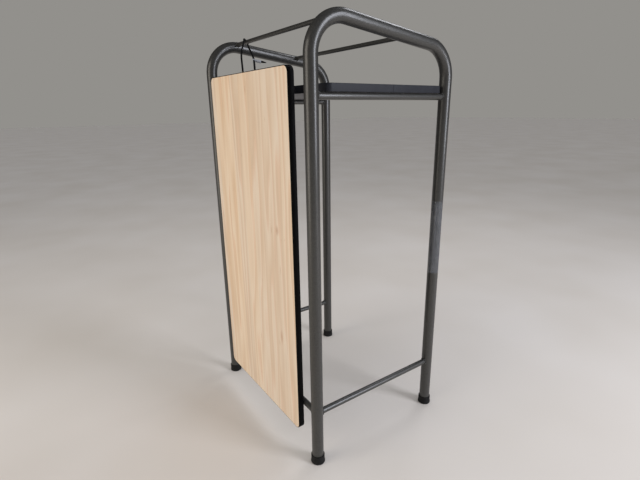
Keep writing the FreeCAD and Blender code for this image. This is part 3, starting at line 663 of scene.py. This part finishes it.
rodNames = {"near_upper_rail": "nearUpperRail", "far_upper_rail": "farUpperRail",
            "near_lower_rail": "nearLowerRail", "far_lower_rail": "farLowerRail",
            "left_lower_rail": "leftLowerRail", "left_top_rod": "leftTopRod",
            "right_top_rod": "rightTopRod"}


def rodLine(node):
    # centre line of a rod from its box: its middle, direction, half length and radius
    low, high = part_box(node)
    size = high - low
    way = max(range(3), key=lambda axis: size[axis])
    radius = min(size) / 2
    direction = Vector([1.0 if axis == way else 0.0 for axis in range(3)])
    return (low + high) / 2, direction, size[way] / 2, radius


def makeRods():
    for node, name in rodNames.items():
        middle, direction, half, radius = rodLine(node)
        reach = direction * half
        points = [middle - reach, middle + reach]
        piece = barAlong(name, points, radius / milli, 0, rodSides)
        hand(piece, "frame", "hammered_paint", node)


def saddle(centre, inward, tube, offset, radius):
    # the line where a rod's surface meets the tube, a little outside the rod
    across = inward.cross(tube)
    reach = radius + weld["proud"] * milli
    tubeRadius = (bentFrame["tubeRadius"] + weld["proud"]) * milli
    points = []
    for step in range(weld["steps"]):
        angle = 2 * math.pi * step / weld["steps"]
        side = reach * math.sin(angle)
        depth = math.sqrt(max(tubeRadius ** 2 - (offset + side) ** 2, 0))
        points.append(centre + tube * (reach * math.cos(angle)) + across * side + inward * depth)
    return points


def makeWelds():
    low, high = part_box("near_leg_frame")
    inset = bentFrame["tubeRadius"] * milli
    legX, frameY = high.x - inset, abs((low.y + high.y) / 2)
    fall = (bentFrame["highCorner"] - bentFrame["lowCorner"]) * milli
    topBar = Vector((2 * legX, 0, -fall)).normalized()
    loops = []
    for node in rodNames:
        middle, direction, half, radius = rodLine(node)
        alongX = direction.x > 0.5
        for sign in (-1, 1):
            centre = middle.copy()
            if alongX:
                centre.x = sign * legX
            else:
                centre.y = sign * frameY
            isTop = node.endswith("top_rod")
            tube = topBar if isTop else Vector((0, 0, 1))
            inward = direction * -sign
            offset = 0.0
            if isTop:
                share = (centre.x + legX) / (2 * legX)
                onBar = Vector((centre.x, centre.y, bentFrame["highCorner"] * milli - share * fall))
                offset = (centre - onBar).dot(inward.cross(tube))
            loops.append(saddle(centre, inward, tube, offset, radius))
    values = {"Bead Radius": weld["beadRadius"] * milli, "Ripple Radius": weld["rippleRadius"] * milli,
              "Ripple Step": weld["rippleStep"] * milli, "Ripple Flat": weld["rippleFlat"],
              "Seed": weld["seed"], "Material": enamel}
    beads = grown("weldBeads", lineObject("saddles", loops, cyclic=True), weldBead, values)
    hand(beads, "frame", "hammered_paint", "frame_welds")


makeFrames()
makeRods()
makeWelds()
print("frames, rods and welds made")


# Feet.

foot = {"wall": 2.0, "baseRound": 2.0, "rimRound": 0.8, "floor": 4.0, "shoulder": 6.5, "sides": 56,
        "treadRing": (0.55, 0.6, 0.66),   # inner edge, crest and outer edge, as shares of the base
        "treadRise": 0.4,
        "shoulderEase": (3.0, 0.6, 0.4),  # where the flare starts and ends, about the shoulder
        "shoulderOut": 0.35, "mouthChamfer": (0.3, 0.4),
        "grooves": (9.5, 12.0, 14.5), "grooveDepth": 0.45, "grooveHalf": 0.5, "crispAngle": 40}


def footProfile(base, height):
    bore = bentFrame["tubeRadius"]
    outer = bore + foot["wall"]
    low, rim = foot["baseRound"], foot["rimRound"]
    inner, crest, outerEdge = (base * share for share in foot["treadRing"])
    profile = [(0, 0), (inner, 0), (crest, foot["treadRise"]), (outerEdge, 0)]
    profile += arc((base - low, low), low, -90, 0, 6)
    shoulder = foot["shoulder"]
    below, bend, above = foot["shoulderEase"]
    profile += [(base, shoulder - below), (outer + foot["shoulderOut"], shoulder - bend),
                (outer, shoulder + above)]
    half, deep = foot["grooveHalf"], foot["grooveDepth"]
    for level in foot["grooves"]:
        profile += [(outer, level - half), (outer - deep, level - half * 0.4),
                    (outer - deep, level + half * 0.4), (outer, level + half)]
    profile += arc((outer - rim, height - rim), rim, 0, 90, 5)
    across, down = foot["mouthChamfer"]
    profile += [(bore + across, height), (bore, height - down), (bore, foot["floor"]),
                (0, foot["floor"])]
    return profile


def makeFeet():
    for node, name in (("near_left_foot", "nearLeftFoot"), ("near_right_foot", "nearRightFoot"),
                       ("far_left_foot", "farLeftFoot"), ("far_right_foot", "farRightFoot")):
        low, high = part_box(node)
        base, height = (high.x - low.x) / 2 / milli, (high.z - low.z) / milli
        middle = ((low.x + high.x) / 2, (low.y + high.y) / 2, low.z)
        profile = footProfile(base, height)
        ferrule = lathe(name, profile, middle, (0, 0, 1), foot["sides"], rubber)
        softEdges(ferrule, foot["crispAngle"])
        hand(ferrule, "frame", "rubber", node)


makeFeet()
paintNode("foot_washers", zinc)
print("feet made")


# Clear sleeve on a leg.

sleeve = {"lift": 0.12, "filmThickness": 0.1, "overlap": 24, "rise": 0.08, "rows": 40, "sides": 64,
          "bubble": 0.05, "bubbleRound": 2.2, "bubbleAlong": 55, "seamAngle": 200}


def makeSleeve():
    low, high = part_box("leg_sleeve")
    centre = (low + high) / 2
    turn = 360 + sleeve["overlap"]
    points, faces = [], []
    for row in range(sleeve["rows"] + 1):
        z = low.z + (high.z - low.z) * row / sleeve["rows"]
        for step in range(sleeve["sides"] + 1):
            share = step / sleeve["sides"]
            angle = math.radians(sleeve["seamAngle"] + turn * share)
            radius = bentFrame["tubeRadius"] + sleeve["lift"] + sleeve["rise"] * share
            spot = Vector((math.cos(angle), math.sin(angle), 0)) * sleeve["bubbleRound"]
            spot.z = z * sleeve["bubbleAlong"]
            radius += sleeve["bubble"] * max(noise.noise(spot), 0)
            points.append((centre.x + radius * milli * math.cos(angle),
                           centre.y + radius * milli * math.sin(angle), z))
    width = sleeve["sides"] + 1
    for row in range(sleeve["rows"]):
        for step in range(sleeve["sides"]):
            start = row * width + step
            faces.append((start, start + 1, start + width + 1, start + width))
    film = fromFaces("clearSleeve", points, faces, clearFilm())
    shell = film.modifiers.new("thickness", "SOLIDIFY")
    shell.thickness = sleeve["filmThickness"] * milli
    shell.offset = -1
    hand(film, "frame", "clear_sleeve", "leg_sleeve")


makeSleeve()
print("sleeve made")


# Shelf and board edging.

edging = {"wall": 1.5, "round": 1.2, "roundSteps": 5, "cornerSteps": 10, "seamWidth": 0.5, "seamAt": 14,
          "lip": 8.0, "lipThickness": 1.0, "lipEdge": (0.5, 0.4), "shelfCorner": 12, "boardCorner": 13,
          "leastCorner": 0.2, "bindingSeamAt": 60, "bindingSeamWidth": 0.15, "crispAngle": 50}


def outline(width, height, corner, inset, start):
    # rounded rectangle moved in by inset, anticlockwise; it begins on its lower side at start
    halfW, halfH = width / 2 - inset, height / 2 - inset
    radius = max(corner - inset, edging["leastCorner"])
    points = [(start, -halfH)]
    for sx, sy, first in ((1, -1, -90), (1, 1, 0), (-1, 1, 90), (-1, -1, 180)):
        centre = (sx * (halfW - radius), sy * (halfH - radius))
        points += arc(centre, radius, first, first + 90, edging["cornerSteps"])
    return points


def edgeStrip(name, profile, width, height, corner, seam, material, toPlace):
    # a strip round a board: the profile's (inset, level) points carried round the outline
    start, gap = seam
    rings = []
    for inset, level in profile:
        path = outline(width, height, corner, inset, start + gap / 2)
        path.append((start - gap / 2, path[0][1]))
        rings.append([toPlace(u, v, level) for u, v in path])
    count, points, faces = len(rings[0]), [], []
    for ring in rings:
        points += ring
    for row in range(len(rings)):
        after = (row + 1) % len(rings)
        for step in range(count - 1):
            faces.append((row * count + step, row * count + step + 1,
                          after * count + step + 1, after * count + step))
    faces.append(tuple(row * count for row in range(len(rings))))
    faces.append(tuple(row * count + count - 1 for row in reversed(range(len(rings)))))
    strip = fromFaces(name, points, faces, material)
    softEdges(strip, edging["crispAngle"])
    return strip


def wallProfile(depth):
    # outer wall with rounded arrises, from the inner bottom edge round to the inner top edge
    r = edging["round"]
    profile = [(edging["wall"], 0)]
    profile += arc((r, r), r, -90, -180, edging["roundSteps"])
    profile += arc((r, depth - r), r, 180, 90, edging["roundSteps"])
    return profile


def makeShelfEdging():
    low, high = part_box("shelf_edging")
    size, middle = (high - low) / milli, (low + high) / 2
    profile = wallProfile(size.z) + [(edging["wall"], size.z)]
    seam = (edging["seamAt"] - middle.x / milli, edging["seamWidth"])

    def toPlace(u, v, level):
        return middle.x + u * milli, middle.y + v * milli, low.z + level * milli

    strip = edgeStrip("shelfEdging", profile, size.x, size.y, edging["shelfCorner"], seam, shelfPvcPaintedReflection,
                      toPlace)
    hand(strip, "shelf", "black_edging", "shelf_edging")


def makeBoardBinding():
    low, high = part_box("edge_binding")
    size, middle = (high - low) / milli, (low + high) / 2
    tip = edging["wall"] + edging["lip"]
    under = size.x - edging["lipThickness"]
    profile = wallProfile(size.x)
    back, drop = edging["lipEdge"]
    profile += [(tip - back, size.x), (tip, size.x - drop), (tip, under), (edging["wall"], under)]
    seam = (edging["bindingSeamAt"], edging["bindingSeamWidth"])

    def toPlace(u, v, level):
        return low.x + level * milli, middle.y + u * milli, middle.z + v * milli

    strip = edgeStrip("boardBinding", profile, size.y, size.z, edging["boardCorner"], seam, boardPvc,
                      toPlace)
    hand(strip, "board", "black_edging", "edge_binding")


# flame marks on the board: (across, along, half width, half length)
boardMarks = [(-8, 783, 1.4, 16), (-5, 770, 2.2, 10), (-112, 500, 8.0, 13), (-88, 497, 1.8, 11),
              (-119, 418, 1.4, 13), (160, 482, 1.6, 12), (-13, 220, 1.6, 18), (-112, 262, 6.5, 20),
              (-102, 244, 1.6, 10), (-127, 484, 1.2, 3), (-140, 487, 1.0, 3)]
paintNode("board_core", gluedPine("boardPine", "YZX", boardMarks))
paintNode("shelf_core", pressedLaminate())
makeShelfEdging()
makeBoardBinding()
print("shelf and board edging made")


# Felt pad and cotton cover.

cloth = {"cell": 5.0, "corner": 11.2}
felt = {"rough": 0.08, "roughScale": 90, "seed": 0.3, "gap": 0.1}
cover = {"thickness": 0.7, "crown": 0.35, "crownReach": 45, "lipReach": 12, "lipPress": 0.12,
         "pull": 0.28, "pullScale": 38, "pullSeed": 2.0,
         "ripple": 0.12, "rippleScale": (12, 5), "rippleSeed": 8.0}
tiny = 1e-9


def roundedGrid(low, high, corner, cell):
    # a grid over a YZ rectangle, with the points outside its round corners drawn in to them
    across = round((high.y - low.y) / (cell * milli))
    tall = round((high.z - low.z) / (cell * milli))
    radius = corner * milli
    points = []
    for row in range(tall + 1):
        for step in range(across + 1):
            y = low.y + (high.y - low.y) * step / across
            z = low.z + (high.z - low.z) * row / tall
            inner = Vector((min(max(y, low.y + radius), high.y - radius),
                            min(max(z, low.z + radius), high.z - radius)))
            out = Vector((y, z)) - inner
            reach = max(abs(out.x), abs(out.y))
            if abs(out.x) > tiny and abs(out.y) > tiny:
                out *= reach / out.length
            points.append((inner.x + out.x, inner.y + out.y))
    faces = []
    for row in range(tall):
        for step in range(across):
            start = row * (across + 1) + step
            faces.append((start, start + 1, start + across + 2, start + across + 1))
    return points, faces


def edgeShare(y, z, low, high, reach):
    # 0 at the rectangle's edge, 1 from reach millimetres inwards
    near = min(y - low.y, high.y - y, z - low.z, high.z - z) / (reach * milli)
    near = min(max(near, 0.0), 1.0)
    return near * near * (3 - 2 * near)


def thicken(piece, thickness):
    # gives a sheet its thickness towards the wood
    shell = piece.modifiers.new("thickness", "SOLIDIFY")
    shell.thickness = thickness
    shell.offset = 1 if piece.data.polygons[0].normal.x < 0 else -1


def makeFelt():
    low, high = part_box("felt_pad")
    flat, faces = roundedGrid(low, high, cloth["corner"], cloth["cell"])
    points = []
    for y, z in flat:
        spot = Vector((y * felt["roughScale"], z * felt["roughScale"], felt["seed"]))
        rough = noise.noise(spot) * felt["rough"] * milli
        points.append((high.x - felt["gap"] * milli + min(rough, 0), y, z))
    piece = fromFaces("feltPad", points, faces, needledFelt())
    thicken(piece, (high.x - low.x) - 2 * felt["gap"] * milli)
    hand(piece, "board", "felt", "felt_pad")


def makeCover():
    # stretched over the felt: flat under the lip, a slight crown inside it, pull lines at the edge
    low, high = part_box("ironing_cover")
    flat, faces = roundedGrid(low, high, cloth["corner"], cloth["cell"])
    points = []
    for y, z in flat:
        inside = edgeShare(y, z, low, high, cover["crownReach"])
        freeOfLip = edgeShare(y, z, low, high, cover["lipReach"])
        edgeBand = freeOfLip * (1 - inside)
        pullSpot = Vector((y * cover["pullScale"], z * cover["pullScale"], cover["pullSeed"]))
        pull = noise.noise(pullSpot) * cover["pull"] * edgeBand
        acrossScale, alongScale = cover["rippleScale"]
        rippleSpot = Vector((y * acrossScale, z * alongScale, cover["rippleSeed"]))
        ripple = noise.noise(rippleSpot) * cover["ripple"] * freeOfLip
        rise = cover["crown"] * inside + pull + ripple
        press = cover["lipPress"] * milli * (1 - freeOfLip)
        points.append((high.x + rise * milli - press, y, z))
    piece = fromFaces("ironingCover", points, faces, wovenCotton())
    thicken(piece, cover["thickness"] * milli)
    hand(piece, "board", "cover_cloth", "ironing_cover")


makeFelt()
makeCover()
print("felt and cover made")


# Hanging loop.

loop = {"diameter": 4.0, "length": 0.5019, "plaitPitch": 11.0, "lobes": 4, "relief": 0.14, "step": 0.6,
        "sides": 24}
# waist and taper are (share of the radius, share of the length)
clasp = {"radius": 3.0, "way": (0.801, -0.561, -0.208), "endRound": 0.55, "sides": 32,
         "waist": ((0.92, 0.3), (0.84, 0.34), (0.84, 0.44), (0.92, 0.48), (1.0, 0.6))}
tail = {"length": 11.0, "inside": 0.6, "neck": (0.9, 0.95), "neckLength": 1.0, "sides": 24,
        "taper": ((0.94, 0.35), (0.7, 0.6), (0.42, 0.88), (0.2, 0.98))}
loopRoute = [(-0.1836, 0.009, 0.7856), (-0.1836, 0.009, 0.8046), (-0.1836, 0.009, 0.8106),
             (-0.15081, 0.08182, 0.85014), (-0.1111, 0.14464, 0.88246), (-0.09899, 0.17006, 0.89404),
             (-0.08952, 0.17006, 0.88414), (-0.10163, 0.14464, 0.87256), (-0.13916, 0.04532, 0.83796),
             (-0.1836, -0.044, 0.8106), (-0.1836, -0.044, 0.8046), (-0.1836, -0.044, 0.7856)]


def pointsAlong(route):
    # the route's own smooth line, read from a spline with no bevel
    guide = lineObject("guide", [route], nurbs=True)
    graph = bpy.context.evaluated_depsgraph_get()
    mesh = bpy.data.meshes.new_from_object(guide.evaluated_get(graph), depsgraph=graph)
    points = [vertex.co.copy() for vertex in mesh.vertices]
    bpy.data.objects.remove(guide)
    bpy.data.meshes.remove(mesh)
    return points


def braidTree():
    # a round cord whose surface rises in the diamonds of a plait
    tree, given = newTree("braidedCord", {"Radius": "Float", "Plait Pitch": "Float", "Lobes": "Float",
                                          "Relief": "Float", "Step": "Float", "Sides": "Int",
                                          "Material": "Material"})

    def sum2(operation, *values):
        return maths(tree, operation, *values)

    def kept(geometry, name, value):
        wires = {"Geometry": geometry, "Name": name, "Value": value}
        return put(tree, "GeometryNodeStoreNamedAttribute", wires).outputs[0]

    def read(name):
        return put(tree, "GeometryNodeInputNamedAttribute", {"Name": name}).outputs[0]

    steps = put(tree, "GeometryNodeResampleCurve", {"Curve": given["Geometry"], "Length": given["Step"]},
                mode="LENGTH")
    run = kept(steps.outputs[0], "alongCord",
               put(tree, "GeometryNodeSplineParameter").outputs["Length"])
    circle = put(tree, "GeometryNodeCurvePrimitiveCircle", {"Resolution": given["Sides"],
                                                            "Radius": given["Radius"]})
    section = kept(circle.outputs[0], "roundCord",
                   put(tree, "GeometryNodeSplineParameter").outputs["Factor"])
    tube = put(tree, "GeometryNodeCurveToMesh", {"Curve": run, "Profile Curve": section,
                                                 "Fill Caps": True})
    around = sum2("MULTIPLY", sum2("MULTIPLY", read("roundCord"), given["Lobes"]), math.pi)
    onward = sum2("MULTIPLY", sum2("DIVIDE", read("alongCord"), given["Plait Pitch"]), 2 * math.pi)
    crown = sum2("MULTIPLY", sum2("ABSOLUTE", sum2("SINE", sum2("ADD", around, onward))),
                 sum2("ABSOLUTE", sum2("SINE", sum2("SUBTRACT", around, onward))))
    crowned = kept(tube.outputs[0], "plaitCrown", crown)
    drop = sum2("MULTIPLY", sum2("SUBTRACT", read("plaitCrown"), 1.0), given["Relief"])
    lift = put(tree, "ShaderNodeVectorMath", {0: put(tree, "GeometryNodeInputNormal").outputs[0],
                                              "Scale": drop}, operation="SCALE")
    plait = put(tree, "GeometryNodeSetPosition", {"Geometry": crowned, "Offset": lift.outputs[0]})
    smooth = put(tree, "GeometryNodeSetShadeSmooth", {0: plait.outputs[0]})
    closeTree(tree, smooth.outputs[0], given["Material"])
    return tree


def makeCord(line):
    values = {"Radius": loop["diameter"] / 2 * milli, "Plait Pitch": loop["plaitPitch"] * milli,
              "Lobes": float(loop["lobes"]), "Relief": loop["relief"] * milli,
              "Step": loop["step"] * milli, "Sides": loop["sides"], "Material": cordYarn}
    piece = grown("hangingLoop", lineObject("loopLine", [line]), braidTree(), values)
    return hand(piece, "board", "cord", "hanging_loop")


def makeClasp(way):
    low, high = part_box("loop_clasp")
    radius = clasp["radius"]
    length = (high - low).x / milli / way.x - 2 * radius * abs(way.y) / way.x
    start = (low + high) / 2 - way * (length / 2 * milli)
    rounding = radius * clasp["endRound"]
    profile = [(0, 0)] + arc((radius - rounding, rounding), rounding, -90, 0, 5)
    profile += [(radius * out, length * share) for out, share in clasp["waist"]]
    profile += arc((radius - rounding, length - rounding), rounding, 0, 90, 5) + [(0, length)]
    piece = lathe("loopClasp", profile, start, way, clasp["sides"], claspNylon)
    return hand(piece, "board", "clasp", "loop_clasp")


def makeTail(way):
    low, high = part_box("loop_tail")
    tip, inside, root = tail["length"], tail["inside"], loop["diameter"] / 2
    start = (low + high) / 2 - way * (tip / 2 * milli)
    hidden, mouth = (root * share for share in tail["neck"])
    profile = [(0, -inside), (hidden, -inside), (mouth, 0), (root, tail["neckLength"])]
    profile += [(root * out, tip * share) for out, share in tail["taper"]] + [(0, tip)]
    piece = lathe("loopTail", profile, start, way, tail["sides"], cordYarn)
    return hand(piece, "board", "cord", "loop_tail")


def makeLoop():
    line = pointsAlong(loopRoute)
    cord = makeCord(line)
    way = Vector(clasp["way"]).normalized()
    fittings = [makeClasp(way), makeTail(way)]


makeLoop()
paintNode("loop_eyelets", nickel)
print("loop made")
